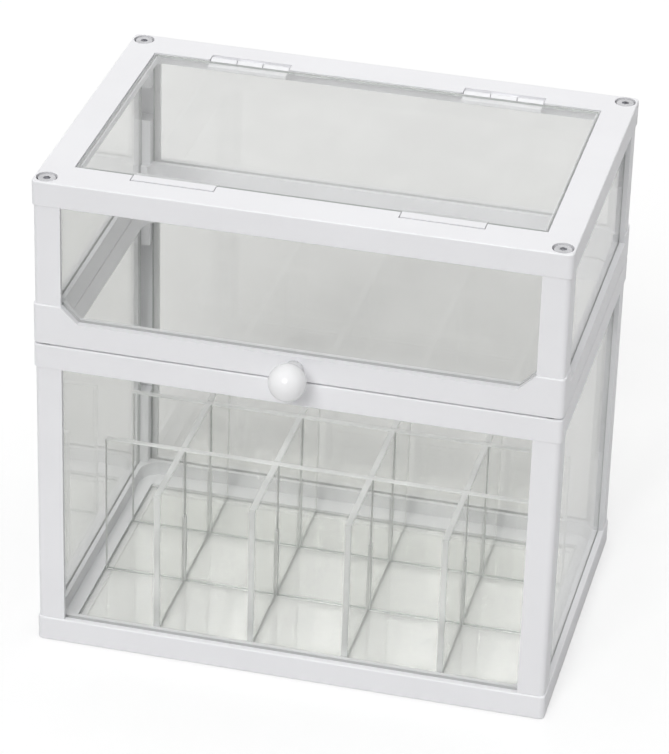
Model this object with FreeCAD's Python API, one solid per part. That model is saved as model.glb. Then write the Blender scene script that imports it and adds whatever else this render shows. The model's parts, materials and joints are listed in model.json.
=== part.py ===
"""Clear display case for makeup: a framed lower case with a divider grid, and a framed lid with a top flap.

Millimetres, +Z up, front towards -Y. The shapes are drawn round the middle of the case, standing on Z = 0,
and are moved along Y on export, so that the origin is under the middle of the whole object, knob included.
"""
import FreeCAD, Part
import math
import os

V = FreeCAD.Vector
X_AXIS = V(1, 0, 0)
Y_AXIS = V(0, 1, 0)
Z_AXIS = V(0, 0, 1)

# Overall case
CASE_W = 240.0
CASE_D = 160.0
LOWER_H = 157.0
UPPER_H = 81.0
SEAM_GAP = 0.6

# Moulded rings
BASE_RING_H = 12.0
RIM_RING_H = 12.0
LID_RING_H = 12.0
TOP_RING_H = 12.0
CORNER_R = 2.5
EDGE_R = 0.7
OUTER_WALL = 2.8
INNER_WALL = 2.0
SEAT_DEPTH = 3.5
GUSSET = 7.7
REAR_RAISE = GUSSET / 2
INNER_CORNER_R = 10.0

# Corner posts
STILE_W = 13.0
POST_INSET = 0.6
CLIP_W = 10.0
HEAD_CLIP_H = 12.5
LOWER_CLIP_H = 38.0
LID_CLIP_H = 19.0

# Panes
PANE_T = 3.0
PANE_SLIP = 0.15

# Base opening and its floor pane
BASE_FLANGE_T = 5.0
BASE_LEDGE_T = 1.5
BASE_LEDGE_W = 3.0
FLOOR_T = 2.5
FLOOR_GAP = 0.2

# Top opening and its flange
SIDE_FLANGE_W = 14.5
END_FLANGE_W = 18.0
TOP_FLANGE_T = 3.0
FLAP_LEDGE_W = 2.0
FLAP_LEDGE_T = 3.0
NOTCH_X = CASE_W / 4
NOTCH_W = 38.0
NOTCH_DEPTH = 5.5

# Flap and its hinges
FLAP_T = 3.0
FLAP_GAP = 0.8
FLAP_SWING_GAP = 0.3
FLAP_KNUCKLE_R = 2.2
FLAP_KNUCKLE_GAP = 1.0
FLAP_WEB_SINK = 1.2
FLAP_PIN_R = 1.0
FLAP_LEAF_W = 4.0
FLAP_LEAF_T = 1.4
FLAP_FINGER_W = 12.0
FLAP_TAB_GAP = 1.1
FLAP_TAB_T = 2.4

# Lid hinges at the rear of the seam
HINGE_X = CASE_W * 0.3
HINGE_OUT = 3.6
HINGE_R = 3.2
HINGE_PIN_R = 1.5
HINGE_W = 40.0
HINGE_FINGER_W = 14.0
KNUCKLE_GAP = 0.4
PIN_PLAY = 0.05

# Divider grid
CELL = 45.0
COLUMNS = 5
ROWS = 3
ROW_SETBACK = 4.0
DIVIDER_T = 3.0
DIVIDER_H = 72.5
DIVIDER_SLIP = 0.15
DIVIDER_END_GAP = 0.5

# Knob
KNOB_R = 8.5
KNOB_OUT = 12.5
KNOB_NECK_R = 4.2
KNOB_SCREW_R = 1.6
KNOB_SCREW_BITE = 8.0
KNOB_SCREW_HEAD_R = 3.4
KNOB_SCREW_HEAD_T = 2.2

# Corner screws
SCREW_IN = 5.7
SCREW_HEAD_R = 4.2
SCREW_HEAD_T = 2.6
SCREW_SINK = 0.3
SCREW_HEAD_PLAY = 0.6
SCREW_R = 1.9
SCREW_PLAY = 0.2
SCREW_BITE = 11.0
SCREW_PILOT_PLAY = 0.05
SOCKET_AF = 3.0
SOCKET_DEPTH = 1.5

# Heights and places worked out from the sizes above
CASE_H = LOWER_H + UPPER_H
HALF_W = CASE_W / 2
HALF_D = CASE_D / 2
RIM_Z = LOWER_H - RIM_RING_H
LID_Z = LOWER_H + SEAM_GAP
LID_RAIL_Z = LID_Z + LID_RING_H
LID_CORNER_Z = LID_RAIL_Z + GUSSET
LID_REAR_Z = LID_RAIL_Z + REAR_RAISE
TOP_Z = CASE_H - TOP_RING_H
SLOT_W = PANE_T + 2 * PANE_SLIP
CHANNEL_W = OUTER_WALL + SLOT_W + INNER_WALL
OPEN_X = HALF_W - SIDE_FLANGE_W
OPEN_Y = HALF_D - END_FLANGE_W
FLOOR_Z = BASE_LEDGE_T + FLOOR_T
HINGE_Y = HALF_D + HINGE_OUT
HINGE_Z = LOWER_H + SEAM_GAP / 2
FLAP_HINGE_Y = OPEN_Y + NOTCH_DEPTH - FLAP_KNUCKLE_GAP - FLAP_KNUCKLE_R
FLAP_HINGE_Z = CASE_H - FLAP_KNUCKLE_R
FLAP_Z = CASE_H - FLAP_T
FLAP_SWING_R = math.hypot(FLAP_HINGE_Y - OPEN_Y, CASE_H - FLAP_HINGE_Z) + FLAP_SWING_GAP
FLAP_REAR_Y = FLAP_HINGE_Y - FLAP_SWING_R
KNOB_Z = LID_Z + LID_RING_H / 2
CASE_SHIFT = V(0, (KNOB_OUT + KNOB_R - HINGE_OUT - HINGE_R) / 2, 0)
CORNERS = {"front_left": (-1, -1), "front_right": (1, -1), "rear_left": (-1, 1), "rear_right": (1, 1)}


def block(x0, x1, y0, y1, z0, z1):
    """Rectangular block between two corners."""
    return Part.makeBox(x1 - x0, y1 - y0, z1 - z0, V(x0, y0, z0))


def centred(half_x, half_y, z0, z1):
    """Rectangular block centred on the case's middle line."""
    return block(-half_x, half_x, -half_y, half_y, z0, z1)


def rod(radius, start, axis, length):
    """Round bar from a start point along an axis."""
    return Part.makeCylinder(radius, length, start, axis)


def prism(points, along):
    """Closed outline pushed along a vector."""
    return Part.Face(Part.makePolygon(points + points[:1])).extrude(along)


def joined(shapes):
    """Shapes fused into one clean solid."""
    return shapes[0].multiFuse(shapes[1:]).removeSplitter()


def carved(shape, cuts):
    """Shape with each of the cuts taken out of it in turn."""
    for cut in cuts:
        shape = shape.cut(cut)
    return shape


def rounded(shape, radius, picks):
    """Shape with a round on each edge whose bounding box the pick function accepts."""
    edges = [edge for edge in shape.Edges if picks(edge.BoundBox)]
    return shape.makeFillet(radius, edges)


def ring_blank(z0, z1):
    """Solid block of the case's outline with round upright corners and softened top and bottom edges."""
    blank = centred(HALF_W, HALF_D, z0, z1)
    blank = rounded(blank, CORNER_R, lambda box: box.ZLength > (z1 - z0) / 2)
    return rounded(blank, EDGE_R, lambda box: box.ZLength < (z1 - z0) / 2)


def ring_hollow(z0, z1):
    """Space inside a ring's channel walls, with round upright corners."""
    hollow = centred(HALF_W - CHANNEL_W, HALF_D - CHANNEL_W, z0, z1)
    return rounded(hollow, INNER_CORNER_R, lambda box: box.ZLength > (z1 - z0) / 2)


def pane_slots(z0, z1):
    """Slots that the upright panes drop into, one along each side of a ring."""
    near = OUTER_WALL
    far = OUTER_WALL + SLOT_W
    slots = []
    for side in (-1, 1):
        ys = sorted((side * (HALF_D - near), side * (HALF_D - far)))
        slots.append(block(-(HALF_W - CLIP_W), HALF_W - CLIP_W, *ys, z0, z1))
        xs = sorted((side * (HALF_W - near), side * (HALF_W - far)))
        slots.append(block(*xs, -(HALF_D - CLIP_W), HALF_D - CLIP_W, z0, z1))
    return slots


def screw_points():
    """Plan positions of the four corner screws."""
    return [V(sx * (HALF_W - SCREW_IN), sy * (HALF_D - SCREW_IN), 0) for sx, sy in CORNERS.values()]


def screw_seats(face_z, inward, depth):
    """Sunk head seats in a ring's face at height face_z, with clearance holes on through the ring."""
    seats = []
    for point in screw_points():
        start = V(point.x, point.y, face_z)
        sink = SCREW_HEAD_T + SCREW_SINK
        seats.append(rod(SCREW_HEAD_R + SCREW_HEAD_PLAY, start, Z_AXIS * inward, sink))
        seats.append(rod(SCREW_R + SCREW_PLAY, start, Z_AXIS * inward, depth))
    return seats


def screws(face_z, inward, depth):
    """Four socket-head screws sunk in a ring's face, long enough to bite into the posts beyond the ring."""
    made = []
    for point in screw_points():
        top = V(point.x, point.y, face_z + inward * SCREW_SINK)
        along = Z_AXIS * inward
        head = rod(SCREW_HEAD_R, top, along, SCREW_HEAD_T)
        shank = rod(SCREW_R, top, along, depth - SCREW_SINK + SCREW_BITE)
        hexagon = [top + V(SOCKET_AF / math.sqrt(3) * math.cos(turn), SOCKET_AF / math.sqrt(3) * math.sin(turn), 0)
                   for turn in (math.pi / 3 * step for step in range(6))]
        made.append(joined([head, shank]).cut(prism(hexagon, along * SOCKET_DEPTH)))
    return Part.makeCompound(made)


def knuckle(x0, x1, y, z, radius, web):
    """Hinge barrel along X at a given axis, with a web outline in the YZ plane that ties it to its ring."""
    barrel = rod(radius, V(x0, y, z), X_AXIS, x1 - x0)
    arm = prism([V(x0, py, pz) for py, pz in web], X_AXIS * (x1 - x0))
    return joined([barrel, arm])


def lid_knuckles(spans, up):
    """Knuckles of both lid hinges over the given spans, with webs above (up 1) or below (up -1) the seam."""
    inside = HALF_D - OUTER_WALL / 2
    low = HINGE_Z + up * SEAM_GAP / 2
    high = HINGE_Z + up * HINGE_R
    ramp = high + up * HINGE_OUT
    web = [(inside, low), (HINGE_Y, low), (HINGE_Y, high), (HALF_D, ramp), (inside, ramp)]
    made = []
    for centre in (-HINGE_X, HINGE_X):
        made += [knuckle(centre + a, centre + b, HINGE_Y, HINGE_Z, HINGE_R, web) for a, b in spans]
    return made


def lid_hinge_bores():
    """Pin bores through both lid hinges."""
    return [rod(HINGE_PIN_R + PIN_PLAY, V(centre - HINGE_W, HINGE_Y, HINGE_Z), X_AXIS, 2 * HINGE_W)
            for centre in (-HINGE_X, HINGE_X)]


def base_ring():
    """Bottom ring: pane channel on top, flange with a stepped opening for the floor pane below."""
    ring = ring_blank(0, BASE_RING_H)
    cuts = [ring_hollow(BASE_FLANGE_T, BASE_RING_H)]
    cuts.append(centred(OPEN_X, OPEN_Y, BASE_LEDGE_T, BASE_FLANGE_T))
    cuts.append(centred(OPEN_X - BASE_LEDGE_W, OPEN_Y - BASE_LEDGE_W, 0, BASE_LEDGE_T))
    cuts += pane_slots(BASE_RING_H - SEAT_DEPTH, BASE_RING_H)
    cuts += screw_seats(0, 1, BASE_RING_H)
    return carved(ring, cuts)


def rim_ring():
    """Ring that closes the lower case: channel underneath, flat seam face on top, hinge knuckles behind."""
    ring = ring_blank(RIM_Z, LOWER_H)
    inner = HINGE_FINGER_W / 2 + KNUCKLE_GAP
    spans = ((-HINGE_W / 2, -inner), (inner, HINGE_W / 2))
    ring = joined([ring] + lid_knuckles(spans, -1))
    cuts = [ring_hollow(RIM_Z, LOWER_H)]
    cuts += pane_slots(RIM_Z, RIM_Z + SEAT_DEPTH)
    cuts += screw_seats(LOWER_H, -1, RIM_RING_H)
    cuts += lid_hinge_bores()
    return carved(ring, cuts)


def lid_ring():
    """Bottom ring of the lid: raised front corners with 45 degree gussets, a raised rear rail, and hinge fingers."""
    ring = ring_blank(LID_Z, LID_CORNER_Z)
    half = HINGE_FINGER_W / 2
    ring = joined([ring] + lid_knuckles(((-half, half),), 1))
    inside_x = HALF_W - STILE_W
    inside_y = HALF_D - STILE_W
    window = [V(-inside_x, -HALF_D, LID_CORNER_Z), V(-inside_x + GUSSET, -HALF_D, LID_RAIL_Z),
              V(inside_x - GUSSET, -HALF_D, LID_RAIL_Z), V(inside_x, -HALF_D, LID_CORNER_Z)]
    cuts = [prism(window, Y_AXIS * HALF_D)]
    cuts.append(block(-HALF_W, HALF_W, 0, HALF_D, LID_REAR_Z, LID_CORNER_Z))
    cuts.append(centred(HALF_W, inside_y, LID_RAIL_Z, LID_CORNER_Z))
    cuts.append(ring_hollow(LID_Z, LID_CORNER_Z))
    cuts += pane_slots(LID_RAIL_Z - SEAT_DEPTH, LID_CORNER_Z)
    cuts += screw_seats(LID_Z, 1, LID_CORNER_Z - LID_Z)
    cuts += lid_hinge_bores()
    cuts.append(rod(KNOB_SCREW_R + SCREW_PLAY, V(0, -HALF_D, KNOB_Z), Y_AXIS, CHANNEL_W))
    return carved(ring, cuts)


def notch(centre, side):
    """Notch in the top flange at one place along its front (side -1) or rear (side 1) edge."""
    ys = sorted((side * OPEN_Y, side * (OPEN_Y + NOTCH_DEPTH)))
    return block(centre - NOTCH_W / 2, centre + NOTCH_W / 2, *ys, FLAP_Z - FLAP_LEDGE_T, CASE_H)


def top_ring():
    """Top ring: channel underneath, flanged opening with notches, side seats and hinge fingers for the flap."""
    ring = ring_blank(TOP_Z, CASE_H)
    flange_z = CASE_H - TOP_FLANGE_T
    hollow = ring_hollow(TOP_Z, flange_z)
    seat_end = OPEN_Y + FLAP_LEDGE_W
    for side in (-1, 1):
        xs = sorted((side * (OPEN_X - FLAP_LEDGE_W), side * (HALF_W - CHANNEL_W)))
        hollow = hollow.cut(block(*xs, -seat_end, seat_end, FLAP_Z - FLAP_LEDGE_T, flange_z))
    cuts = [hollow, centred(OPEN_X, OPEN_Y, FLAP_Z, CASE_H)]
    cuts.append(centred(OPEN_X - FLAP_LEDGE_W, OPEN_Y, FLAP_Z - FLAP_LEDGE_T, CASE_H))
    cuts += [notch(centre, side) for centre in (-NOTCH_X, NOTCH_X) for side in (-1, 1)]
    cuts += pane_slots(TOP_Z, TOP_Z + SEAT_DEPTH)
    cuts += screw_seats(CASE_H, -1, TOP_RING_H)
    ring = carved(ring, cuts)
    back = OPEN_Y + NOTCH_DEPTH
    web_z = CASE_H - FLAP_WEB_SINK
    web = [(FLAP_HINGE_Y, flange_z), (back, flange_z), (back, web_z), (FLAP_HINGE_Y, web_z)]
    half = FLAP_FINGER_W / 2
    fingers = [knuckle(centre - half, centre + half, FLAP_HINGE_Y, FLAP_HINGE_Z, FLAP_KNUCKLE_R, web)
               for centre in (-NOTCH_X, NOTCH_X)]
    return carved(joined([ring] + fingers), [flap_bore(centre) for centre in (-NOTCH_X, NOTCH_X)])


def flap_bore(centre):
    """Pin bore of one flap hinge, as long as the notch."""
    return rod(FLAP_PIN_R + PIN_PLAY, V(centre - NOTCH_W / 2, FLAP_HINGE_Y, FLAP_HINGE_Z), X_AXIS, NOTCH_W)


def post(side_x, side_y, z0, z1, seat_z, foot_clip_h):
    """Corner post: an angle over the pane edges, with a clip inside each end that parts the panes and takes a screw.
    The lower clip and its screw are reckoned from seat_z, which is at the foot or above it."""
    outline = [(POST_INSET, POST_INSET), (STILE_W, POST_INSET), (STILE_W, OUTER_WALL),
               (OUTER_WALL, OUTER_WALL), (OUTER_WALL, STILE_W), (POST_INSET, STILE_W)]
    points = [V(side_x * (HALF_W - nx), side_y * (HALF_D - ny), z0) for nx, ny in outline]
    angle = prism(points, Z_AXIS * (z1 - z0))
    angle = rounded(angle, CORNER_R, lambda box: box.ZLength > 0 and box.isInside(points[0]))
    root = (POST_INSET + OUTER_WALL) / 2
    xs = sorted((side_x * (HALF_W - root), side_x * (HALF_W - CLIP_W)))
    ys = sorted((side_y * (HALF_D - root), side_y * (HALF_D - CLIP_W)))
    clips = [block(*xs, *ys, z0, seat_z + foot_clip_h), block(*xs, *ys, z1 - HEAD_CLIP_H, z1)]
    centre = V(side_x * (HALF_W - SCREW_IN), side_y * (HALF_D - SCREW_IN), 0)
    pilot_r = SCREW_R + SCREW_PILOT_PLAY
    pilot = SCREW_BITE + SCREW_SINK
    holes = [rod(pilot_r, centre + Z_AXIS * z0, Z_AXIS, seat_z - z0 + pilot)]
    holes.append(rod(pilot_r, centre + Z_AXIS * z1, -Z_AXIS, pilot))
    return carved(joined([angle] + clips), holes)


def panes(z0, z1):
    """Four upright panes whose lower edges stand in the slots at z0, keyed by the side they close."""
    near = OUTER_WALL + PANE_SLIP
    half_x = HALF_W - CLIP_W - PANE_SLIP
    half_y = HALF_D - CLIP_W - PANE_SLIP
    made = {}
    for name, side in (("front", -1), ("rear", 1)):
        ys = sorted((side * (HALF_D - near), side * (HALF_D - near - PANE_T)))
        made[name] = block(-half_x, half_x, *ys, z0, z1)
    for name, side in (("left", -1), ("right", 1)):
        xs = sorted((side * (HALF_W - near), side * (HALF_W - near - PANE_T)))
        made[name] = block(*xs, -half_y, half_y, z0, z1)
    return made


def plate_lines(count, middle):
    """Centre lines of the plates that part a number of equal cells, about a middle line."""
    return [middle + (index - count / 2) * CELL for index in range(1, count)]


def long_lines():
    """Places across the case of the plates that run front to rear."""
    return plate_lines(COLUMNS, 0)


def cross_lines():
    """Places along the depth of the plates that run left to right, set back from the middle of the case."""
    return plate_lines(ROWS, ROW_SETBACK)


def divider_long(x):
    """Front-to-rear divider plate, slotted from the top where the cross plates drop in."""
    half = DIVIDER_T / 2
    slot = half + DIVIDER_SLIP
    reach = OPEN_Y - DIVIDER_END_GAP
    top = FLOOR_Z + DIVIDER_H
    middle = FLOOR_Z + DIVIDER_H / 2 - DIVIDER_SLIP
    plate = block(x - half, x + half, -reach, reach, FLOOR_Z, top)
    slots = [block(x - half, x + half, y - slot, y + slot, middle, top) for y in cross_lines()]
    return carved(plate, slots)


def divider_cross(y):
    """Left-to-right divider plate, slotted from below over the long plates."""
    half = DIVIDER_T / 2
    slot = half + DIVIDER_SLIP
    reach = OPEN_X - DIVIDER_END_GAP
    top = FLOOR_Z + DIVIDER_H
    middle = FLOOR_Z + DIVIDER_H / 2 + DIVIDER_SLIP
    plate = block(-reach, reach, y - half, y + half, FLOOR_Z, top)
    slots = [block(x - slot, x + slot, y - half, y + half, FLOOR_Z, middle) for x in long_lines()]
    return carved(plate, slots)


def lid_hinge_pins():
    """Pins of the two lid hinges."""
    return Part.makeCompound([rod(HINGE_PIN_R, V(centre - HINGE_W / 2, HINGE_Y, HINGE_Z), X_AXIS, HINGE_W)
                              for centre in (-HINGE_X, HINGE_X)])


def flap_hinge_pins():
    """Pins of the two flap hinges, kept in place by the ends of the notches."""
    length = NOTCH_W - 2 * KNUCKLE_GAP
    return Part.makeCompound([rod(FLAP_PIN_R, V(centre - length / 2, FLAP_HINGE_Y, FLAP_HINGE_Z), X_AXIS, length)
                              for centre in (-NOTCH_X, NOTCH_X)])


def flap_pane():
    """Clear panel of the flap, flush with the top ring, with room behind it to swing past the opening's edge."""
    half = OPEN_X - FLAP_GAP
    return block(-half, half, -(OPEN_Y - FLAP_GAP), FLAP_REAR_Y, FLAP_Z, CASE_H)


def flap_hinge(centre):
    """Leaf under the flap's rear edge, with a knuckle either side of the ring's finger."""
    rear = FLAP_REAR_Y
    low = FLAP_Z - FLAP_LEAF_T
    half = NOTCH_W / 2 - KNUCKLE_GAP
    inner = FLAP_FINGER_W / 2 + KNUCKLE_GAP
    leaf = block(centre - half, centre + half, rear - FLAP_LEAF_W, rear, low, FLAP_Z)
    web = [(rear - FLAP_LEAF_W, low), (FLAP_HINGE_Y, low), (FLAP_HINGE_Y, FLAP_Z), (rear - FLAP_LEAF_W, FLAP_Z)]
    spans = ((centre - half, centre - inner), (centre + inner, centre + half))
    ends = [knuckle(a, b, FLAP_HINGE_Y, FLAP_HINGE_Z, FLAP_KNUCKLE_R, web) for a, b in spans]
    return joined([leaf] + ends).cut(flap_bore(centre))


def flap_tab(centre):
    """Finger tab at the flap's front edge: a bar in the notch on a leaf under the panel."""
    half = NOTCH_W / 2 - KNUCKLE_GAP
    front = -(OPEN_Y + NOTCH_DEPTH - FLAP_TAB_GAP)
    edge = -(OPEN_Y - FLAP_GAP)
    low = FLAP_Z - FLAP_LEAF_T
    outline = [V(centre - half, front, CASE_H - FLAP_TAB_T), V(centre - half, edge, low),
               V(centre - half, edge + FLAP_LEAF_W, low), V(centre - half, edge + FLAP_LEAF_W, FLAP_Z),
               V(centre - half, edge, FLAP_Z), V(centre - half, edge, CASE_H), V(centre - half, front, CASE_H)]
    return prism(outline, X_AXIS * 2 * half)


def knob():
    """Ball knob on a short neck, turned about its own axis, with a blind hole for its screw."""
    meet = KNOB_OUT - math.sqrt(KNOB_R ** 2 - KNOB_NECK_R ** 2)
    tip = KNOB_OUT + KNOB_R
    face = -HALF_D
    start = V(0, face, KNOB_Z)
    neck = V(KNOB_NECK_R, face, KNOB_Z)
    root = V(KNOB_NECK_R, face - meet, KNOB_Z)
    equator = V(KNOB_R, face - KNOB_OUT, KNOB_Z)
    end = V(0, face - tip, KNOB_Z)
    ball = Part.Arc(root, equator, end).toShape()
    sides = [Part.makeLine(start, neck), Part.makeLine(neck, root), ball, Part.makeLine(end, start)]
    body = Part.Face(Part.Wire(sides)).revolve(start, Y_AXIS, 360)
    return body.cut(rod(KNOB_SCREW_R + SCREW_PILOT_PLAY, start, -Y_AXIS, KNOB_SCREW_BITE + SCREW_SINK))


def knob_screw():
    """Screw that holds the knob, with its head inside the lid's front rail."""
    inside = V(0, -HALF_D + CHANNEL_W, KNOB_Z)
    head = rod(KNOB_SCREW_HEAD_R, inside, Y_AXIS, KNOB_SCREW_HEAD_T)
    shank = rod(KNOB_SCREW_R, inside, -Y_AXIS, CHANNEL_W + KNOB_SCREW_BITE)
    return joined([head, shank])


def lower_case():
    """Pieces of the lower case by name."""
    made = {"base_ring": base_ring(), "rim_ring": rim_ring()}
    made["base_pane"] = centred(OPEN_X - FLOOR_GAP, OPEN_Y - FLOOR_GAP, BASE_LEDGE_T, FLOOR_Z)
    for name, (side_x, side_y) in CORNERS.items():
        made["lower_post_" + name] = post(side_x, side_y, BASE_RING_H, RIM_Z, BASE_RING_H, LOWER_CLIP_H)
    for name, pane in panes(BASE_RING_H - SEAT_DEPTH, RIM_Z + SEAT_DEPTH - 2 * PANE_SLIP).items():
        made["lower_pane_" + name] = pane
    for index, x in enumerate(long_lines(), 1):
        made["divider_long_%d" % index] = divider_long(x)
    for index, y in enumerate(cross_lines(), 1):
        made["divider_cross_%d" % index] = divider_cross(y)
    made["base_screws"] = screws(0, 1, BASE_RING_H)
    made["rim_screws"] = screws(LOWER_H, -1, RIM_RING_H)
    made["lid_hinge_pins"] = lid_hinge_pins()
    return made


def lid():
    """Pieces of the lid by name."""
    made = {"lid_ring": lid_ring(), "top_ring": top_ring()}
    for name, (side_x, side_y) in CORNERS.items():
        foot = LID_CORNER_Z if side_y < 0 else LID_REAR_Z
        made["lid_post_" + name] = post(side_x, side_y, foot, TOP_Z, LID_CORNER_Z, LID_CLIP_H)
    for name, pane in panes(LID_RAIL_Z - SEAT_DEPTH, TOP_Z + SEAT_DEPTH - 2 * PANE_SLIP).items():
        made["lid_pane_" + name] = pane
    made["lid_ring_screws"] = screws(LID_Z, 1, LID_CORNER_Z - LID_Z)
    made["top_screws"] = screws(CASE_H, -1, TOP_RING_H)
    made["flap_hinge_pins"] = flap_hinge_pins()
    made["knob"] = knob()
    made["knob_screw"] = knob_screw()
    return made


def flap():
    """Pieces of the top flap by name."""
    made = {"flap_pane": flap_pane()}
    for name, centre in (("left", -NOTCH_X), ("right", NOTCH_X)):
        made["flap_hinge_" + name] = flap_hinge(centre)
        made["flap_tab_" + name] = flap_tab(centre)
    return made


def main():
    """Write every piece to its own file, with the origin under the middle of the whole object."""
    os.makedirs("parts", exist_ok=True)
    for pieces in (lower_case(), lid(), flap()):
        for name, shape in pieces.items():
            shape.translated(CASE_SHIFT).exportStep("parts/%s.step" % name)


main()
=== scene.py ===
"""Finish of the framed clear makeup case, laid out as an add-on and run as a script.

Metres, +Z up, front towards -Y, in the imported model's own frame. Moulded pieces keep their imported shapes
and get a finish. Clear panes, divider plates, the knob and the corner screws are worked out again here with
ground edges, fillets and rounds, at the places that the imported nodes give.
"""
import json
import math

import bpy
import numpy as np
from bpy.props import FloatProperty, FloatVectorProperty, PointerProperty
from mathutils import Matrix, Vector


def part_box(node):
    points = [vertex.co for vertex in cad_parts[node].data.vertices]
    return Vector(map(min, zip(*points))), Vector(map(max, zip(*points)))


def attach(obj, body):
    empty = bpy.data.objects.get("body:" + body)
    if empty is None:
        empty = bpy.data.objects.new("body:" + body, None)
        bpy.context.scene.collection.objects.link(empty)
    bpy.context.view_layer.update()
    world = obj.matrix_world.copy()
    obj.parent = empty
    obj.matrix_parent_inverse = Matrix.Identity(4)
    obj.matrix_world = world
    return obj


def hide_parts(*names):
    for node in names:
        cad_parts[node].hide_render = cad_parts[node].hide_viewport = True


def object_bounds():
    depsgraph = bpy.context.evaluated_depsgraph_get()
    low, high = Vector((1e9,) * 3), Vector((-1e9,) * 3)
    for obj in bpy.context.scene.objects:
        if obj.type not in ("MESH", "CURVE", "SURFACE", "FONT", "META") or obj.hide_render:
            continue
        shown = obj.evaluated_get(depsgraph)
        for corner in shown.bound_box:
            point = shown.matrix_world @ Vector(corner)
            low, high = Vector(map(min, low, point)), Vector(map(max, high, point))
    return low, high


bl_info = {
    "name": "Clear Makeup Case",
    "version": (1, 0, 0),
    "blender": (4, 5, 0),
    "location": "View3D > Sidebar > Makeup Case",
    "description": "Dresses the packed makeup case: frames, clear panes, divider plates, knob and screws",
    "category": "Object",
}

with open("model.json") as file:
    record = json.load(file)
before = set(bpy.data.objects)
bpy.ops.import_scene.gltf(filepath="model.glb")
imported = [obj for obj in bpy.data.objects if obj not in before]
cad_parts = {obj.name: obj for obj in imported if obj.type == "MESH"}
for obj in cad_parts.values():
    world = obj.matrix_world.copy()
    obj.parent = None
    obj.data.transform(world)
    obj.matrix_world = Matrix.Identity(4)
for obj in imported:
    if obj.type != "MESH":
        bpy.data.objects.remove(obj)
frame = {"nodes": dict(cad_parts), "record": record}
CAD_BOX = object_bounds()
RECORD = frame["record"]
BODY_OF = {node: body for body, nodes in RECORD["behaviour"]["bodies"].items() for node in nodes}
SLOT_OF = {entry["node"]: entry["material_slot"] for entry in RECORD["subparts"]}

# Image that the camera frames, in pixels
IMAGE_W = 669
IMAGE_H = 754
SENSOR = 36.0

# Plate axes: for each thin axis, the two outline axes in the order that keeps the three right-handed
OUTLINE_AXES = {0: (1, 2), 1: (2, 0), 2: (0, 1)}

# Steps along a plate's rounds, the knob's fillet and ball and a screw's rim, and around turned pieces
ROUND_STEPS = 3
FILLET_STEPS = 10
BALL_STEPS = 48
RIM_STEPS = 6
KNOB_TURNS = 96
SCREW_TURNS = 72

# Material indices of a plate: its large faces, its edges, and its foot, painted dark as the shade under it,
# or its side edges
FACE, EDGE, SHADED_FOOT, SIDE = 0, 1, 2, 2

# Normals of faces that count as flat underneath, and as looking to the side
FLAT_DOWN = -0.99
SIDEWAYS = 0.3

# Refraction of the moulded plastic and of the clear sheets
PLASTIC_IOR = 1.5
CLEAR_IOR = 1.49

# Range that noise values mostly fall in
NOISE_LOW = 0.35
NOISE_HIGH = 0.65

# Floor's half width, its room below the case, and the lamp's and camera's far limits
FLOOR_HALF = 8.0
FLOOR_DROP = 0.0002
LAMP_DISTANCE = 3.0
CAMERA_REACH = 100.0
BOUNCES = 32
CLEAR_LAYERS = 48


class CaseColours(bpy.types.PropertyGroup):
    """Colours of the case's finishes."""

    frame_white: FloatVectorProperty(
        name="Frame white", description="Moulded rings, posts, flap hinges and finger tabs",
        subtype="COLOR", size=3, min=0.0, max=1.0, default=(0.84, 0.84, 0.86))
    knob_white: FloatVectorProperty(
        name="Knob white", description="Glossy ball knob",
        subtype="COLOR", size=3, min=0.0, max=1.0, default=(0.88, 0.88, 0.89))
    pane_tint: FloatVectorProperty(
        name="Pane tint", description="Light that passes once through an upright pane's face",
        subtype="COLOR", size=3, min=0.0, max=1.0, default=(0.92, 0.92, 0.91))
    flap_tint: FloatVectorProperty(
        name="Flap tint", description="Light that passes once through the flap panel's face",
        subtype="COLOR", size=3, min=0.0, max=1.0, default=(0.97, 0.97, 0.965))
    floor_pane_tint: FloatVectorProperty(
        name="Floor pane tint", description="Light that passes once through the floor pane",
        subtype="COLOR", size=3, min=0.0, max=1.0, default=(0.985, 0.985, 0.972))
    floor_haze: FloatProperty(
        name="Floor pane haze", description="Share of light that the floor pane scatters like a matt white",
        default=0.25, min=0.0, max=1.0, subtype="FACTOR")
    plate_tint: FloatVectorProperty(
        name="Plate tint", description="Light that passes once through a divider plate",
        subtype="COLOR", size=3, min=0.0, max=1.0, default=(0.988, 0.988, 0.98))
    cut_edge: FloatVectorProperty(
        name="Cut edge", description="Pale cut edges of the divider plates",
        subtype="COLOR", size=3, min=0.0, max=1.0, default=(0.98, 0.99, 0.98))
    # Painted shade: the panes' ground edges are a dark grey that stands for the shade in the gaps and slots
    # round them.
    shaded_pane_edge: FloatVectorProperty(
        name="Pane edge", description="Darker ground edges of the panes",
        subtype="COLOR", size=3, min=0.0, max=1.0, default=(0.52, 0.54, 0.53))
    # Painted shade: the plates' lower edges are a dark grey that stands for the contact shadow under them.
    plate_foot_shade: FloatVectorProperty(
        name="Plate foot", description="Grey lower edges of the divider plates",
        subtype="COLOR", size=3, min=0.0, max=1.0, default=(0.55, 0.58, 0.56))
    edge_green: FloatVectorProperty(
        name="Edge green", description="Tint of clear material seen through its length",
        subtype="COLOR", size=3, min=0.0, max=1.0, default=(0.75, 0.9, 0.82))
    pane_density: FloatProperty(
        name="Pane green density", description="How fast the green tint grows along a pane, per metre",
        default=6.0, min=0.0)
    plate_density: FloatProperty(
        name="Plate green density", description="How fast the green tint grows along a plate, per metre",
        default=4.0, min=0.0)
    steel: FloatVectorProperty(
        name="Steel", description="Plated screws and hinge pins",
        subtype="COLOR", size=3, min=0.0, max=1.0, default=(0.64, 0.64, 0.66))
    floor: FloatVectorProperty(
        name="Floor", description="Pale floor as it lights the case and shows through the panes",
        subtype="COLOR", size=3, min=0.0, max=1.0, default=(0.77, 0.77, 0.77))
    floor_seen: FloatVectorProperty(
        name="Floor seen", description="Floor as the camera sees it, near white",
        subtype="COLOR", size=3, min=0.0, max=1.0, default=(0.98, 0.98, 0.98))


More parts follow.
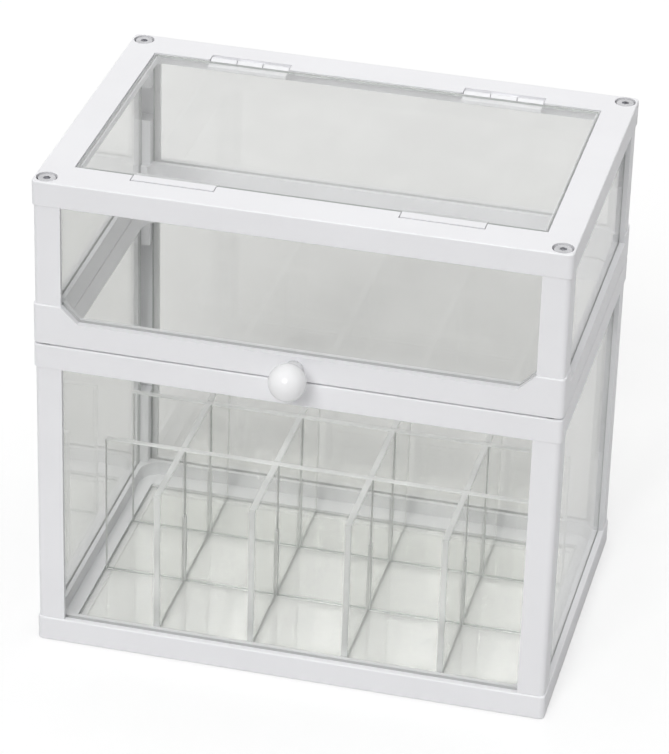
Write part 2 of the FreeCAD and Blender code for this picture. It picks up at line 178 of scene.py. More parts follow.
class CaseSizes(bpy.types.PropertyGroup):
    """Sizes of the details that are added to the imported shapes."""

    pane_arris: FloatProperty(
        name="Pane arris", description="Round along the edges of a pane",
        default=0.0004, min=0.0, unit="LENGTH")
    plate_round: FloatProperty(
        name="Plate round", description="Round along the edges of a divider plate",
        default=0.0005, min=0.0, unit="LENGTH")
    plate_lift: FloatProperty(
        name="Plate lift", description="Room between a divider plate's foot and the floor pane",
        default=0.00015, min=0.0, unit="LENGTH")
    slot_play: FloatProperty(
        name="Slot play", description="Room on each side of a plate in another plate's slot",
        default=0.00015, min=0.0, unit="LENGTH")
    knob_neck_r: FloatProperty(
        name="Knob neck radius", description="Radius of the knob's straight neck",
        default=0.0042, min=0.0, unit="LENGTH")
    knob_fillet_r: FloatProperty(
        name="Knob fillet", description="Radius of the fillet between the neck and the ball",
        default=0.0012, min=0.0, unit="LENGTH")
    screw_head_r: FloatProperty(
        name="Screw head radius", description="Radius of a corner screw's head",
        default=0.0042, min=0.0, unit="LENGTH")
    screw_head_t: FloatProperty(
        name="Screw head height", description="Height of a corner screw's head",
        default=0.0026, min=0.0, unit="LENGTH")
    screw_head_round: FloatProperty(
        name="Screw head round", description="Round on the head's rim",
        default=0.0007, min=0.0, unit="LENGTH")
    screw_r: FloatProperty(
        name="Screw shank radius", description="Radius of a corner screw's shank",
        default=0.0019, min=0.0, unit="LENGTH")
    socket_flats: FloatProperty(
        name="Socket across flats", description="Width of the hexagon socket across its flats",
        default=0.003, min=0.0, unit="LENGTH")
    socket_depth: FloatProperty(
        name="Socket depth", description="Depth of the hexagon socket",
        default=0.0015, min=0.0, unit="LENGTH")
    socket_chamfer: FloatProperty(
        name="Socket chamfer", description="Bevel at the mouth of the hexagon socket",
        default=0.00018, min=0.0, unit="LENGTH")


class CaseStage(bpy.types.PropertyGroup):
    """Camera, lamps and floor."""

    azimuth: FloatProperty(
        name="Camera azimuth", description="Camera's turn from the front towards the right",
        default=math.radians(13.15), subtype="ANGLE")
    elevation: FloatProperty(
        name="Camera elevation", description="Camera's rise above the horizon",
        default=math.radians(29.85), subtype="ANGLE")
    roll: FloatProperty(
        name="Camera roll", description="Camera's turn about its own line of sight",
        default=math.radians(1.73), subtype="ANGLE")
    distance: FloatProperty(
        name="Camera distance", description="From the camera to the middle of the case",
        default=1.7222, min=0.1, unit="LENGTH")
    offset_right: FloatProperty(
        name="Camera offset right", description="Shift of the case to the right in the picture",
        default=0.0007, unit="LENGTH")
    offset_up: FloatProperty(
        name="Camera offset up", description="Shift of the case upwards in the picture",
        default=0.0031, unit="LENGTH")
    focal_pixels: FloatProperty(
        name="Focal length in pixels", description="Focal length in pixels of the image",
        default=3734.0, min=1.0)
    key_level: FloatProperty(
        name="Key light", description="Share of a white surface's light that comes from the front lamp",
        default=0.446, min=0.0)
    key_azimuth: FloatProperty(
        name="Key light azimuth", description="Front lamp's turn from the front towards the right",
        default=math.radians(-5), subtype="ANGLE")
    key_elevation: FloatProperty(
        name="Key light elevation", description="Front lamp's rise above the horizon",
        default=math.radians(37), subtype="ANGLE")
    key_spread: FloatProperty(
        name="Key light spread", description="Width of the front lamp as the case sees it",
        default=math.radians(24), min=0.0, subtype="ANGLE")
    top_level: FloatProperty(
        name="Top light", description="Share of an upward white surface's light from the bright sky overhead",
        default=0.74, min=0.0)
    top_narrow: FloatProperty(
        name="Top light narrowness", description="Power of the height in the sky that its brightness follows",
        default=5.0, min=0.0)
    sky_level: FloatProperty(
        name="Sky light", description="Share of a white surface's light that comes from all round",
        default=0.03, min=0.0)
    floor_glow: FloatProperty(
        name="Floor glow", description="Share of the floor that shows plain white to the camera",
        default=0.5, min=0.0, max=1.0)


def grid_quads(rings, steps):
    """Quads between neighbouring rings of a grid whose rings close on themselves."""
    ring, step = np.meshgrid(np.arange(rings - 1), np.arange(steps), indexing="ij")
    ahead = (step + 1) % steps
    near, far = ring * steps, (ring + 1) * steps
    return np.stack((near + step, near + ahead, far + ahead, far + step), axis=-1).reshape(-1, 4)


def pole_fan(pole, first, steps, outwards):
    """Triangles from a pole to the ring that starts at index first, wound for the near or the far end."""
    step = np.arange(steps)
    here, ahead = first + step, first + (step + 1) % steps
    order = (here, ahead) if outwards else (ahead, here)
    return np.stack((np.full(steps, pole),) + order, axis=-1)


def face_outwards(mesh):
    """Turns a closed mesh's faces outwards: six times its volume, the sum over its triangles of the triple
    product of their corners, has to be positive."""
    mesh.calc_loop_triangles()
    points = np.empty(3 * len(mesh.vertices))
    corners = np.empty(3 * len(mesh.loop_triangles), np.int32)
    mesh.vertices.foreach_get("co", points)
    mesh.loop_triangles.foreach_get("vertices", corners)
    first, second, third = points.reshape(-1, 3)[corners.reshape(-1, 3)].transpose(1, 0, 2)
    if np.sum(first * np.cross(second, third)) < 0:
        mesh.flip_normals()


def mesh_object(name, vertices, faces, smooth=False):
    """Mesh object at the origin from an array of points and a list of faces, turned to face outwards."""
    mesh = bpy.data.meshes.new(name)
    mesh.from_pydata(vertices.tolist(), [], faces)
    face_outwards(mesh)
    mesh.polygons.foreach_set("use_smooth", np.full(len(mesh.polygons), smooth))
    mesh.update()
    obj = bpy.data.objects.new(name, mesh)
    bpy.context.scene.collection.objects.link(obj)
    return obj


def inset(outline, distance):
    """Closed outline moved inwards: each corner goes along the sum of its two edges' inward normals,
    divided by one plus their dot product."""
    along = np.roll(outline, -1, axis=0) - outline
    along = along / np.linalg.norm(along, axis=1, keepdims=True)
    normal = np.stack((-along[:, 1], along[:, 0]), axis=1)
    before = np.roll(normal, 1, axis=0)
    mitre = (before + normal) / (1 + np.sum(before * normal, axis=1, keepdims=True))
    return outline + distance * mitre


def plate(name, outline, thin_axis, start, end, radius):
    """Plate: an outline carried from start to end along the thin axis. At both faces a quarter circle rounds
    its edges: at turn a the inset is radius times (1 - sin a) and the depth is radius times (1 - cos a)."""
    steps = len(outline)
    turn = np.linspace(0, math.pi / 2, ROUND_STEPS + 1)
    insets = radius * (1 - np.sin(turn))
    depths = radius * (1 - np.cos(turn))
    insets = np.concatenate((insets, insets[::-1]))
    heights = np.concatenate((start + depths, end - depths[::-1]))
    vertices = np.empty((len(insets), steps, 3))
    vertices[..., OUTLINE_AXES[thin_axis]] = np.stack([inset(outline, distance) for distance in insets])
    vertices[..., thin_axis] = heights[:, None]
    faces = grid_quads(len(insets), steps).tolist()
    last = (len(insets) - 1) * steps
    edges = len(faces)
    faces += [list(range(steps))[::-1], list(range(last, last + steps))]
    piece = mesh_object(name, vertices.reshape(-1, 3), faces)
    indices = np.where(np.arange(len(faces)) < edges, EDGE, FACE).astype(np.int32)
    piece.data.polygons.foreach_set("material_index", indices)
    return piece


def face_vectors(mesh, name):
    """Vectors of a mesh's faces, such as their normals, as rows of an array."""
    values = np.empty(3 * len(mesh.polygons))
    mesh.polygons.foreach_get(name, values)
    return values.reshape(-1, 3)


def face_materials(mesh):
    """Material indices of a mesh's faces."""
    indices = np.empty(len(mesh.polygons), np.int32)
    mesh.polygons.foreach_get("material_index", indices)
    return indices


def mark_shaded_foot(piece, height, flat):
    """Gives the rounds below a height the foot's material index, whose dark grey is painted shade under the
    plate, and the flap between them another one.
    """
    mesh = piece.data
    indices = face_materials(mesh)
    below = face_vectors(mesh, "center")[:, 2] < height
    indices[below] = np.where(face_vectors(mesh, "normal")[:, 2] < FLAT_DOWN, flat, SHADED_FOOT)[below]
    mesh.polygons.foreach_set("material_index", indices)


def mark_sides(piece):
    """Gives faces that look to the left or right the side edges' material index."""
    mesh = piece.data
    indices = face_materials(mesh)
    indices[np.abs(face_vectors(mesh, "normal")[:, 0]) > SIDEWAYS] = SIDE
    mesh.polygons.foreach_set("material_index", indices)


def rectangle(low, high):
    """Corners of a rectangle, counter-clockwise."""
    return np.array([(low[0], low[1]), (high[0], low[1]), (high[0], high[1]), (low[0], high[1])], float)


def comb(ends, back, front, depth, slots):
    """Comb-shaped outline: a straight back, and slots of the given spans from the front edge to a depth."""
    points = [(ends[0], back), (ends[1], back), (ends[1], front)]
    for low, high in sorted(slots, reverse=True):
        points += [(high, front), (high, depth), (low, depth), (low, front)]
    points.append((ends[0], front))
    return np.array(points, float)


def counter_clockwise(outline):
    """Outline wound so that its area, half the sum of its cross products, is positive."""
    ahead = np.roll(outline, -1, axis=0)
    area = np.sum(outline[:, 0] * ahead[:, 1] - outline[:, 1] * ahead[:, 0])
    return outline if area > 0 else outline[::-1]


def turned(radii, depths, centres, inward, name):
    """Round pieces turned about Z at each centre: rings of radius radii[ring, angle] at depths below the
    start, with a pole at the middle of the first and of the last ring."""
    rings, steps = radii.shape
    angle = np.linspace(0, 2 * math.pi, steps, endpoint=False)
    heights = np.broadcast_to(inward * depths[:, None], radii.shape)
    ring = np.stack((radii * np.cos(angle), radii * np.sin(angle), heights), axis=-1)
    poles = np.array([(0, 0, inward * depths[0]), (0, 0, inward * depths[-1])])
    one = np.concatenate((ring.reshape(-1, 3), poles))
    quads = grid_quads(rings, steps)
    fans = np.concatenate((pole_fan(rings * steps, 0, steps, False),
                           pole_fan(rings * steps + 1, (rings - 1) * steps, steps, True)))
    vertices = (centres[:, None, :] + one[None]).reshape(-1, 3)
    starts = np.arange(len(centres))[:, None, None] * len(one)
    faces = (starts + quads).reshape(-1, 4).tolist() + (starts + fans).reshape(-1, 3).tolist()
    return mesh_object(name, vertices, faces)


def node_box(node):
    """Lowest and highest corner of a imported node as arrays."""
    low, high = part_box(node)
    return np.array(low), np.array(high)


def nodes_of(slot):
    """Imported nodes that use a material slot, in the record's order."""
    return [node for node, used in SLOT_OF.items() if used == slot]


def stand_in(piece, node, *materials):
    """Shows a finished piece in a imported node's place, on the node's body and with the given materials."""
    indices = face_materials(piece.data)
    for material in materials:
        piece.data.materials.append(material)
    piece.data.polygons.foreach_set("material_index", indices)
    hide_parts(node)
    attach(piece, BODY_OF[node])


def finish_node(node, material):
    """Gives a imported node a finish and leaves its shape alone."""
    mesh = frame["nodes"][node].data
    mesh.materials.clear()
    mesh.materials.append(material)


def new_material(name):
    """Empty node material with its output, as the tree and the output node."""
    material = bpy.data.materials.new(name)
    material.use_nodes = True
    tree = material.node_tree
    tree.nodes.clear()
    return material, tree, tree.nodes.new("ShaderNodeOutputMaterial")


def combined(tree, operation, first, second):
    """Math node's value from a socket and a second socket or number."""
    node = tree.nodes.new("ShaderNodeMath")
    node.operation = operation
    tree.links.new(first, node.inputs[0])
    if isinstance(second, bpy.types.NodeSocket):
        tree.links.new(second, node.inputs[1])
    else:
        node.inputs[1].default_value = second
    return node.outputs["Value"]


def noise(tree, scale, detail):
    """Noise on the piece's own coordinates, with a scale in waves per metre."""
    place = tree.nodes.new("ShaderNodeTexCoord")
    texture = tree.nodes.new("ShaderNodeTexNoise")
    texture.inputs["Scale"].default_value = scale
    texture.inputs["Detail"].default_value = detail
    tree.links.new(place.outputs["Object"], texture.inputs["Vector"])
    return texture.outputs["Fac"]


def ramp(tree, value, low, high):
    """Noise value's usual range spread over another range."""
    spread = tree.nodes.new("ShaderNodeMapRange")
    spread.inputs["From Min"].default_value = NOISE_LOW
    spread.inputs["From Max"].default_value = NOISE_HIGH
    spread.inputs["To Min"].default_value = low
    spread.inputs["To Max"].default_value = high
    tree.links.new(value, spread.inputs["Value"])
    return spread.outputs["Result"]


def shade(tree, value, colour, depth):
    """Colour that dips by a share of depth where the value is low."""
    mix = tree.nodes.new("ShaderNodeMix")
    mix.data_type = "RGBA"
    mix.inputs["A"].default_value = (*(part * (1 - depth) for part in colour), 1)
    mix.inputs["B"].default_value = (*colour, 1)
    tree.links.new(value, mix.inputs["Factor"])
    return mix.outputs["Result"]


def fade_upwards(tree, value, low, high):
    """Value that keeps its size below the low height and falls to half of it at the high one."""
    place = tree.nodes.new("ShaderNodeTexCoord")
    parts = tree.nodes.new("ShaderNodeSeparateXYZ")
    tree.links.new(place.outputs["Object"], parts.inputs["Vector"])
    fall = tree.nodes.new("ShaderNodeMapRange")
    fall.inputs["From Min"].default_value = low
    fall.inputs["From Max"].default_value = high
    fall.inputs["To Min"].default_value = 1.0
    fall.inputs["To Max"].default_value = 0.5
    tree.links.new(parts.outputs["Z"], fall.inputs["Value"])
    return combined(tree, "MULTIPLY", value, fall.outputs["Result"])


def bump(tree, value, height):
    """Fine relief of a height in metres."""
    relief = tree.nodes.new("ShaderNodeBump")
    relief.inputs["Distance"].default_value = height
    tree.links.new(value, relief.inputs["Height"])
    return relief.outputs["Normal"]


def moulded_plastic(name, colour, rough_low, rough_high, grain):
    """Moulded plastic: faint clouding of the colour, patchy sheen and a fine grain from the mould."""
    material, tree, out = new_material(name)
    shader = tree.nodes.new("ShaderNodeBsdfPrincipled")
    shader.inputs["IOR"].default_value = PLASTIC_IOR
    clouds = ramp(tree, noise(tree, 28.0, 3.0), 0.0, 1.0)
    tree.links.new(shade(tree, clouds, colour, 0.02), shader.inputs["Base Color"])
    tree.links.new(ramp(tree, noise(tree, 130.0, 2.0), rough_low, rough_high), shader.inputs["Roughness"])
    tree.links.new(bump(tree, noise(tree, 2600.0, 2.0), grain), shader.inputs["Normal"])
    tree.links.new(shader.outputs["BSDF"], out.inputs["Surface"])
    return material


def clear_material(name, tint, green, density, haze=0.0):
    """Clear sheet: refracts what is seen, lets lamps and soft light through, and takes up more red than
    green along its length. Its tint is faintly clouded, and a share of haze scatters like a matt white."""
    material, tree, out = new_material(name)
    shader = tree.nodes.new("ShaderNodeBsdfPrincipled")
    shader.inputs["IOR"].default_value = CLEAR_IOR
    shader.inputs["Roughness"].default_value = 0.0
    shader.inputs["Transmission Weight"].default_value = 1.0 - haze
    clouds = ramp(tree, noise(tree, 40.0, 4.0), 0.0, 1.0)
    tree.links.new(shade(tree, clouds, tint, 0.025), shader.inputs["Base Color"])
    passed = tree.nodes.new("ShaderNodeBsdfTransparent")
    passed.inputs["Color"].default_value = (*(part ** 0.25 for part in tint), 1)
    path = tree.nodes.new("ShaderNodeLightPath")
    lighting = combined(tree, "MAXIMUM", path.outputs["Is Shadow Ray"], path.outputs["Is Diffuse Ray"])
    mix = tree.nodes.new("ShaderNodeMixShader")
    tree.links.new(lighting, mix.inputs["Fac"])
    tree.links.new(shader.outputs["BSDF"], mix.inputs[1])
    tree.links.new(passed.outputs["BSDF"], mix.inputs[2])
    tree.links.new(mix.outputs["Shader"], out.inputs["Surface"])
    volume = tree.nodes.new("ShaderNodeVolumeAbsorption")
    volume.inputs["Color"].default_value = (*green, 1)
    volume.inputs["Density"].default_value = density
    tree.links.new(volume.outputs["Volume"], out.inputs["Volume"])
    return material


def cut_edge(name, colour, patches, clear, painted_light_heights=None):
    """Cut edge of clear sheet: matt, with a share let through with a blur, in patches that dip by a share.
    Given two heights, the dips grow from the lower height to the upper one: painted light, which keeps the
    edge pale low down as if it caught light there and darker higher up."""
    material, tree, out = new_material(name)
    shader = tree.nodes.new("ShaderNodeBsdfPrincipled")
    shader.inputs["IOR"].default_value = CLEAR_IOR
    shader.inputs["Transmission Weight"].default_value = clear
    clouds = ramp(tree, noise(tree, 55.0, 3.0), 0.0, 1.0)
    # Painted light: the edge is paler near the foot and darker higher up.
    if painted_light_heights:
        clouds = fade_upwards(tree, clouds, *painted_light_heights)
    tree.links.new(shade(tree, clouds, colour, patches), shader.inputs["Base Color"])
    tree.links.new(ramp(tree, noise(tree, 700.0, 2.0), 0.35, 0.55), shader.inputs["Roughness"])
    tree.links.new(shader.outputs["BSDF"], out.inputs["Surface"])
    return material


def plated_steel(name, colour):
    """Plated steel: patchy polish and fine turning marks."""
    material, tree, out = new_material(name)
    shader = tree.nodes.new("ShaderNodeBsdfPrincipled")
    shader.inputs["Metallic"].default_value = 1.0
    clouds = ramp(tree, noise(tree, 300.0, 2.0), 0.0, 1.0)
    tree.links.new(shade(tree, clouds, colour, 0.15), shader.inputs["Base Color"])
    tree.links.new(ramp(tree, noise(tree, 900.0, 3.0), 0.14, 0.28), shader.inputs["Roughness"])
    tree.links.new(bump(tree, noise(tree, 4000.0, 2.0), 0.00001), shader.inputs["Normal"])
    tree.links.new(shader.outputs["BSDF"], out.inputs["Surface"])
    return material


def direction(azimuth, elevation):
    """Unit vector at a turn from the front towards the right and a rise above the horizon."""
    flat = math.cos(elevation)
    return Vector((math.sin(azimuth) * flat, -math.cos(azimuth) * flat, math.sin(elevation)))


class MAKEUPCASE_OT_frames(bpy.types.Operator):
    """Gives the rings, posts, flap hinges and finger tabs their moulded plastic"""

    bl_idname = "makeup_case.frames"
    bl_label = "Moulded Frames"

    def execute(self, context):
        colours = context.scene.makeup_case_colours
        plastic = moulded_plastic("moulded_white", colours.frame_white, 0.36, 0.46, 0.000006)
        for node in nodes_of("white_plastic"):
            finish_node(node, plastic)
        return {"FINISHED"}


class MAKEUPCASE_OT_panes(bpy.types.Operator):
    """Makes the upright panes, the floor pane and the flap's panel with ground edges"""

    bl_idname = "makeup_case.panes"
    bl_label = "Clear Panes"

    def execute(self, context):
        colours = context.scene.makeup_case_colours
        sizes = context.scene.makeup_case_sizes
        green, density = colours.edge_green, colours.pane_density
        glass = clear_material("pane_glass", colours.pane_tint, green, density)
        floor_glass = clear_material(
            "floor_pane_glass", colours.floor_pane_tint, green, density, colours.floor_haze)
        flap_glass = clear_material("flap_glass", colours.flap_tint, green, density)
        special = {"base_pane": floor_glass, "flap_pane": flap_glass}
        # Painted shade: the pane edges are a dark grey for the shade in the gaps and slots round the panes;
        # the flap's side edges keep the plain pale cut edge.
        edge = cut_edge("shaded_pane_edge", colours.shaded_pane_edge, 0.1, 0.3)
        flap_side = cut_edge("flap_side_edge", colours.cut_edge, 0.1, 0.3)
        for node in nodes_of("clear_glass"):
            low, high = node_box(node)
            thin = int(np.argmin(high - low))
            axes = list(OUTLINE_AXES[thin])
            outline = rectangle(low[axes], high[axes])
            piece = plate(node + "_ground", outline, thin, low[thin], high[thin], sizes.pane_arris)
            materials = [special.get(node, glass), edge]
            if node == "flap_pane":
                mark_sides(piece)
                materials.append(flap_side)
            stand_in(piece, node, *materials)
        return {"FINISHED"}


class MAKEUPCASE_OT_dividers(bpy.types.Operator):
    """Makes the slotted divider plates with polished edges"""

    bl_idname = "makeup_case.dividers"
    bl_label = "Divider Plates"

    def execute(self, context):
        colours = context.scene.makeup_case_colours
        sizes = context.scene.makeup_case_sizes
        acrylic = clear_material(
            "plate_acrylic", colours.plate_tint, colours.edge_green, colours.plate_density)
        # Painted shade: the plates' feet get a dark grey that stands for the contact shadow under them.
        shaded_foot_edge = cut_edge("plate_foot_shade", colours.plate_foot_shade, 0.2, 0.3)
        boxes = {node: node_box(node) for node in nodes_of("clear_acrylic")}
        heights = [box[corner][2] for box in boxes.values() for corner in (0, 1)]
        # Painted light: the plates' cut edges are kept pale near the foot and dip darker towards the top,
        # standing for light caught low down in the edges.
        edge = cut_edge("plate_edge", colours.cut_edge, 0.22, 0.05, (min(heights), max(heights)))
        thin_axis = {node: int(np.argmin(high - low)) for node, (low, high) in boxes.items()}
        for node, (low, high) in boxes.items():
            thin = thin_axis[node]
            run = 1 - thin
            slots = [(boxes[other][0][run] - sizes.slot_play, boxes[other][1][run] + sizes.slot_play)
                     for other in boxes if thin_axis[other] == run]
            middle = (low[2] + high[2]) / 2
            from_top = thin == 0
            depth = middle - sizes.slot_play if from_top else middle + sizes.slot_play
            foot = low[2] + sizes.plate_lift
            back, front = (foot, high[2]) if from_top else (high[2], foot)
            outline = comb((low[run], high[run]), back, front, depth, slots)
            if OUTLINE_AXES[thin][0] == 2:
                outline = outline[:, ::-1]
            outline = counter_clockwise(outline)
            piece = plate(node + "_polished", outline, thin, low[thin], high[thin], sizes.plate_round)
            mark_shaded_foot(piece, foot + sizes.plate_round, SHADED_FOOT if from_top else FACE)
            stand_in(piece, node, acrylic, edge, shaded_foot_edge)
        return {"FINISHED"}


class MAKEUPCASE_OT_knob(bpy.types.Operator):
    """Makes the ball knob with a fillet between its neck and its ball"""

    bl_idname = "makeup_case.knob"
    bl_label = "Ball Knob"

    def execute(self, context):
        colours = context.scene.makeup_case_colours
        sizes = context.scene.makeup_case_sizes
        low, high = node_box("knob")
        ball_r = (high[0] - low[0]) / 2
        ball_out = high[1] - low[1] - ball_r
        neck_r, fillet_r = sizes.knob_neck_r, sizes.knob_fillet_r
        rise = math.sqrt((ball_r + fillet_r) ** 2 - (neck_r + fillet_r) ** 2)
        lean = math.atan2(rise, neck_r + fillet_r)
        sweep = np.linspace(0, lean, FILLET_STEPS)
        fillet = np.stack((neck_r + fillet_r * (1 - np.cos(sweep)),
                           ball_out - rise + fillet_r * np.sin(sweep)), axis=1)
        around = np.linspace(-lean, math.pi / 2, BALL_STEPS)[1:-1]
        ball = np.stack((ball_r * np.cos(around), ball_out + ball_r * np.sin(around)), axis=1)
        profile = np.concatenate((np.array([(neck_r, 0.0)]), fillet, ball))
        angle = np.linspace(0, 2 * math.pi, KNOB_TURNS, endpoint=False)
        radius, out = profile[:, :1], profile[:, 1:]
        centre_x, centre_z = (low[0] + high[0]) / 2, (low[2] + high[2]) / 2
        grid = np.stack(np.broadcast_arrays(
            centre_x + radius * np.cos(angle), high[1] - out, centre_z + radius * np.sin(angle)), axis=-1)
        rings = len(profile)
        poles = np.array([(centre_x, high[1], centre_z), (centre_x, low[1], centre_z)])
        vertices = np.concatenate((grid.reshape(-1, 3), poles))
        faces = grid_quads(rings, KNOB_TURNS).tolist()
        faces += pole_fan(rings * KNOB_TURNS, 0, KNOB_TURNS, False).tolist()
        faces += pole_fan(rings * KNOB_TURNS + 1, (rings - 1) * KNOB_TURNS, KNOB_TURNS, True).tolist()
        piece = mesh_object("knob_turned", vertices, faces, smooth=True)
        stand_in(piece, "knob", moulded_plastic("knob_gloss", colours.knob_white, 0.16, 0.24, 0.000001))
        return {"FINISHED"}


class MAKEUPCASE_OT_screws(bpy.types.Operator):
    """Makes the socket-head corner screws, and finishes the hinge pins and the knob's screw"""

    bl_idname = "makeup_case.screws"
    bl_label = "Screws and Pins"

    def execute(self, context):
        colours = context.scene.makeup_case_colours
        sizes = context.scene.makeup_case_sizes
        steel = plated_steel("plated_steel", colours.steel)
        angle = np.linspace(0, 2 * math.pi, SCREW_TURNS, endpoint=False)
        sector = np.mod(angle + math.pi / 6, math.pi / 3) - math.pi / 6
        hexagon = sizes.socket_flats / 2 / np.cos(sector)
        circle = np.ones(SCREW_TURNS)
        rim = np.linspace(0, math.pi / 2, RIM_STEPS)
        head_r, head_t, rounding = sizes.screw_head_r, sizes.screw_head_t, sizes.screw_head_round
        chamfer = sizes.socket_chamfer
        for node in nodes_of("steel"):
            if not node.endswith("screws"):
                finish_node(node, steel)
                continue
            low, high = node_box(node)
            length = high[2] - low[2]
            inward = 1 if node in ("base_screws", "lid_ring_screws") else -1
            face_z = low[2] if inward > 0 else high[2]
            rows = [(hexagon, sizes.socket_depth), (hexagon, chamfer), (hexagon + chamfer, 0.0)]
            rows += [(circle * (head_r - rounding * (1 - math.sin(turn))), rounding * (1 - math.cos(turn)))
                     for turn in rim]
            rows += [(circle * head_r, head_t), (circle * sizes.screw_r, head_t),
                     (circle * sizes.screw_r, length)]
            radii = np.stack([row[0] for row in rows])
            depths = np.array([row[1] for row in rows])
            across = [(low[axis] + head_r, high[axis] - head_r) for axis in (0, 1)]
            centres = np.array([(x, y, face_z) for x in across[0] for y in across[1]])
            stand_in(turned(radii, depths, centres, inward, node + "_turned"), node, steel)
        return {"FINISHED"}


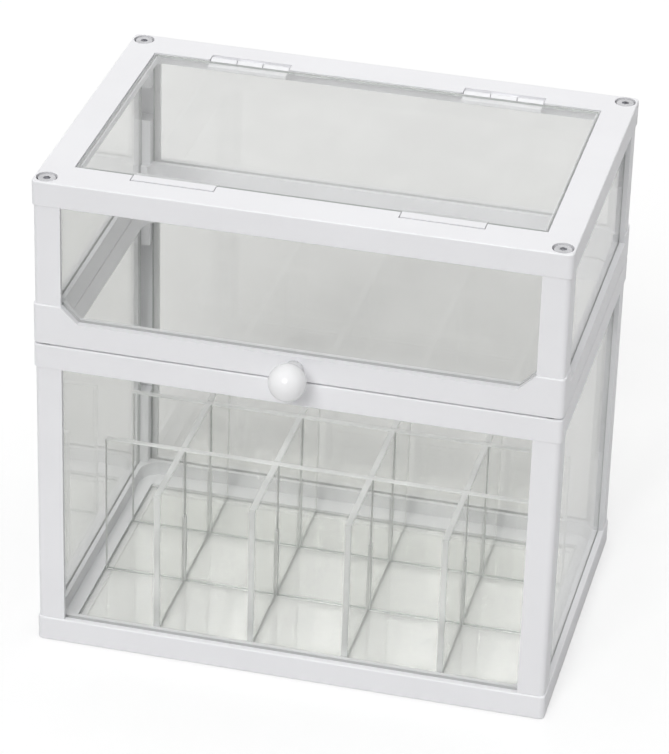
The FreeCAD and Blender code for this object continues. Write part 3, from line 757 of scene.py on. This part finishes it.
class MAKEUPCASE_OT_stage(bpy.types.Operator):
    """Sets up the pale floor, the lamps, the white surroundings and the camera"""

    bl_idname = "makeup_case.stage"
    bl_label = "Stage"

    def execute(self, context):
        scene = context.scene
        scene.view_settings.view_transform = "Standard"
        scene.cycles.max_bounces = BOUNCES
        scene.cycles.transmission_bounces = BOUNCES
        scene.cycles.transparent_max_bounces = CLEAR_LAYERS
        self.make_floor(scene)
        self.make_world(scene)
        self.make_lamps(scene)
        self.make_camera(scene)
        return {"FINISHED"}

    def seen(self, tree):
        """1 for rays that show the surroundings: from the camera, mirrored or through clear material."""
        path = tree.nodes.new("ShaderNodeLightPath")
        value = path.outputs["Is Camera Ray"]
        for name in ("Is Glossy Ray", "Is Transmission Ray"):
            value = combined(tree, "MAXIMUM", value, path.outputs[name])
        return value

    def make_floor(self, scene):
        """Pale floor: one colour for the case's light, a lighter one with a glow for the camera."""
        stage = scene.makeup_case_stage
        colours = scene.makeup_case_colours
        corners = rectangle((-FLOOR_HALF, -FLOOR_HALF), (FLOOR_HALF, FLOOR_HALF))
        corners = np.column_stack((corners, np.full(len(corners), -FLOOR_DROP)))
        mesh = bpy.data.meshes.new("floor")
        mesh.from_pydata(corners.tolist(), [], [(0, 1, 2, 3)])
        floor = bpy.data.objects.new("floor", mesh)
        scene.collection.objects.link(floor)
        material, tree, out = new_material("pale_floor")
        path = tree.nodes.new("ShaderNodeLightPath")
        paint = tree.nodes.new("ShaderNodeMix")
        paint.data_type = "RGBA"
        paint.inputs["A"].default_value = (*colours.floor, 1)
        paint.inputs["B"].default_value = (*colours.floor_seen, 1)
        tree.links.new(path.outputs["Is Camera Ray"], paint.inputs["Factor"])
        matt = tree.nodes.new("ShaderNodeBsdfDiffuse")
        tree.links.new(paint.outputs["Result"], matt.inputs["Color"])
        glow = tree.nodes.new("ShaderNodeEmission")
        share = combined(tree, "MULTIPLY", path.outputs["Is Camera Ray"], stage.floor_glow)
        mix = tree.nodes.new("ShaderNodeMixShader")
        tree.links.new(share, mix.inputs["Fac"])
        tree.links.new(matt.outputs["BSDF"], mix.inputs[1])
        tree.links.new(glow.outputs["Emission"], mix.inputs[2])
        tree.links.new(mix.outputs["Shader"], out.inputs["Surface"])
        mesh.materials.append(material)

    def make_world(self, scene):
        """White surroundings that light the case mostly from overhead."""
        stage = scene.makeup_case_stage
        world = bpy.data.worlds.new("white_room")
        scene.world = world
        world.use_nodes = True
        tree = world.node_tree
        tree.nodes.clear()
        out = tree.nodes.new("ShaderNodeOutputWorld")
        light = tree.nodes.new("ShaderNodeBackground")
        tree.links.new(self.sky_strength(tree, stage), light.inputs["Strength"])
        white = tree.nodes.new("ShaderNodeBackground")
        for shader in (light, white):
            shader.inputs["Color"].default_value = (1, 1, 1, 1)
        mix = tree.nodes.new("ShaderNodeMixShader")
        tree.links.new(self.seen(tree), mix.inputs["Fac"])
        tree.links.new(light.outputs["Background"], mix.inputs[1])
        tree.links.new(white.outputs["Background"], mix.inputs[2])
        tree.links.new(mix.outputs["Shader"], out.inputs["Surface"])

    def sky_strength(self, tree, stage):
        """Sky level plus a bright patch overhead that follows a power of the direction's height."""
        place = tree.nodes.new("ShaderNodeTexCoord")
        parts = tree.nodes.new("ShaderNodeSeparateXYZ")
        tree.links.new(place.outputs["Generated"], parts.inputs["Vector"])
        value = parts.outputs["Z"]
        steps = (("MAXIMUM", 0.0), ("POWER", stage.top_narrow),
                 ("MULTIPLY", stage.top_level * (stage.top_narrow + 2) / 2), ("ADD", stage.sky_level))
        for operation, number in steps:
            value = combined(tree, operation, value, number)
        return value

    def make_lamps(self, scene):
        """Wide, soft front lamp, turned towards the case's middle."""
        stage = scene.makeup_case_stage
        key = bpy.data.lights.new("front_lamp", "SUN")
        key.angle = stage.key_spread
        key.energy = math.pi * stage.key_level
        back = direction(stage.key_azimuth, stage.key_elevation)
        obj = bpy.data.objects.new("front_lamp", key)
        obj.location = (CAD_BOX[0] + CAD_BOX[1]) / 2 + back * LAMP_DISTANCE
        obj.rotation_euler = (-back).to_track_quat("-Z", "Y").to_euler()
        scene.collection.objects.link(obj)

    def make_camera(self, scene):
        """Camera at a direction and distance from the middle of the case's rings, rolled and shifted."""
        stage = scene.makeup_case_stage
        azimuth, roll = stage.azimuth, stage.roll
        back = direction(azimuth, stage.elevation)
        right = Vector((math.cos(azimuth), math.sin(azimuth), 0))
        up = back.cross(right)
        across = right * math.cos(roll) + up * math.sin(roll)
        upward = up * math.cos(roll) - right * math.sin(roll)
        rings = node_box("base_ring"), node_box("top_ring")
        middle = Vector((rings[0][0] + rings[1][1]) / 2)
        turn = Matrix((across, upward, back)).transposed().to_4x4()
        place = middle - across * stage.offset_right - upward * stage.offset_up + back * stage.distance
        data = bpy.data.cameras.new("camera")
        data.sensor_width = SENSOR
        data.lens = stage.focal_pixels * SENSOR / max(IMAGE_W, IMAGE_H)
        data.clip_end = CAMERA_REACH
        camera = bpy.data.objects.new("camera", data)
        camera.matrix_world = Matrix.Translation(place) @ turn
        scene.collection.objects.link(camera)
        scene.camera = camera


class MAKEUPCASE_PT_case(bpy.types.Panel):
    """Lists the steps that dress the case."""

    bl_label = "Makeup Case"
    bl_idname = "MAKEUPCASE_PT_case"
    bl_space_type = "VIEW_3D"
    bl_region_type = "UI"
    bl_category = "Makeup Case"

    def draw(self, context):
        for step in STEPS:
            self.layout.operator(step.bl_idname)


STEPS = (MAKEUPCASE_OT_frames, MAKEUPCASE_OT_panes, MAKEUPCASE_OT_dividers, MAKEUPCASE_OT_knob,
         MAKEUPCASE_OT_screws, MAKEUPCASE_OT_stage)
GROUPS = {"makeup_case_colours": CaseColours, "makeup_case_sizes": CaseSizes, "makeup_case_stage": CaseStage}
CLASSES = tuple(GROUPS.values()) + STEPS + (MAKEUPCASE_PT_case,)


def register():
    for cls in CLASSES:
        bpy.utils.register_class(cls)
    for name, group in GROUPS.items():
        setattr(bpy.types.Scene, name, PointerProperty(type=group))


def unregister():
    for name in GROUPS:
        delattr(bpy.types.Scene, name)
    for cls in reversed(CLASSES):
        bpy.utils.unregister_class(cls)


def main():
    """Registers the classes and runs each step."""
    register()
    bpy.ops.makeup_case.frames()
    bpy.ops.makeup_case.panes()
    bpy.ops.makeup_case.dividers()
    bpy.ops.makeup_case.knob()
    bpy.ops.makeup_case.screws()
    bpy.ops.makeup_case.stage()


if __name__ == "__main__":
    main()
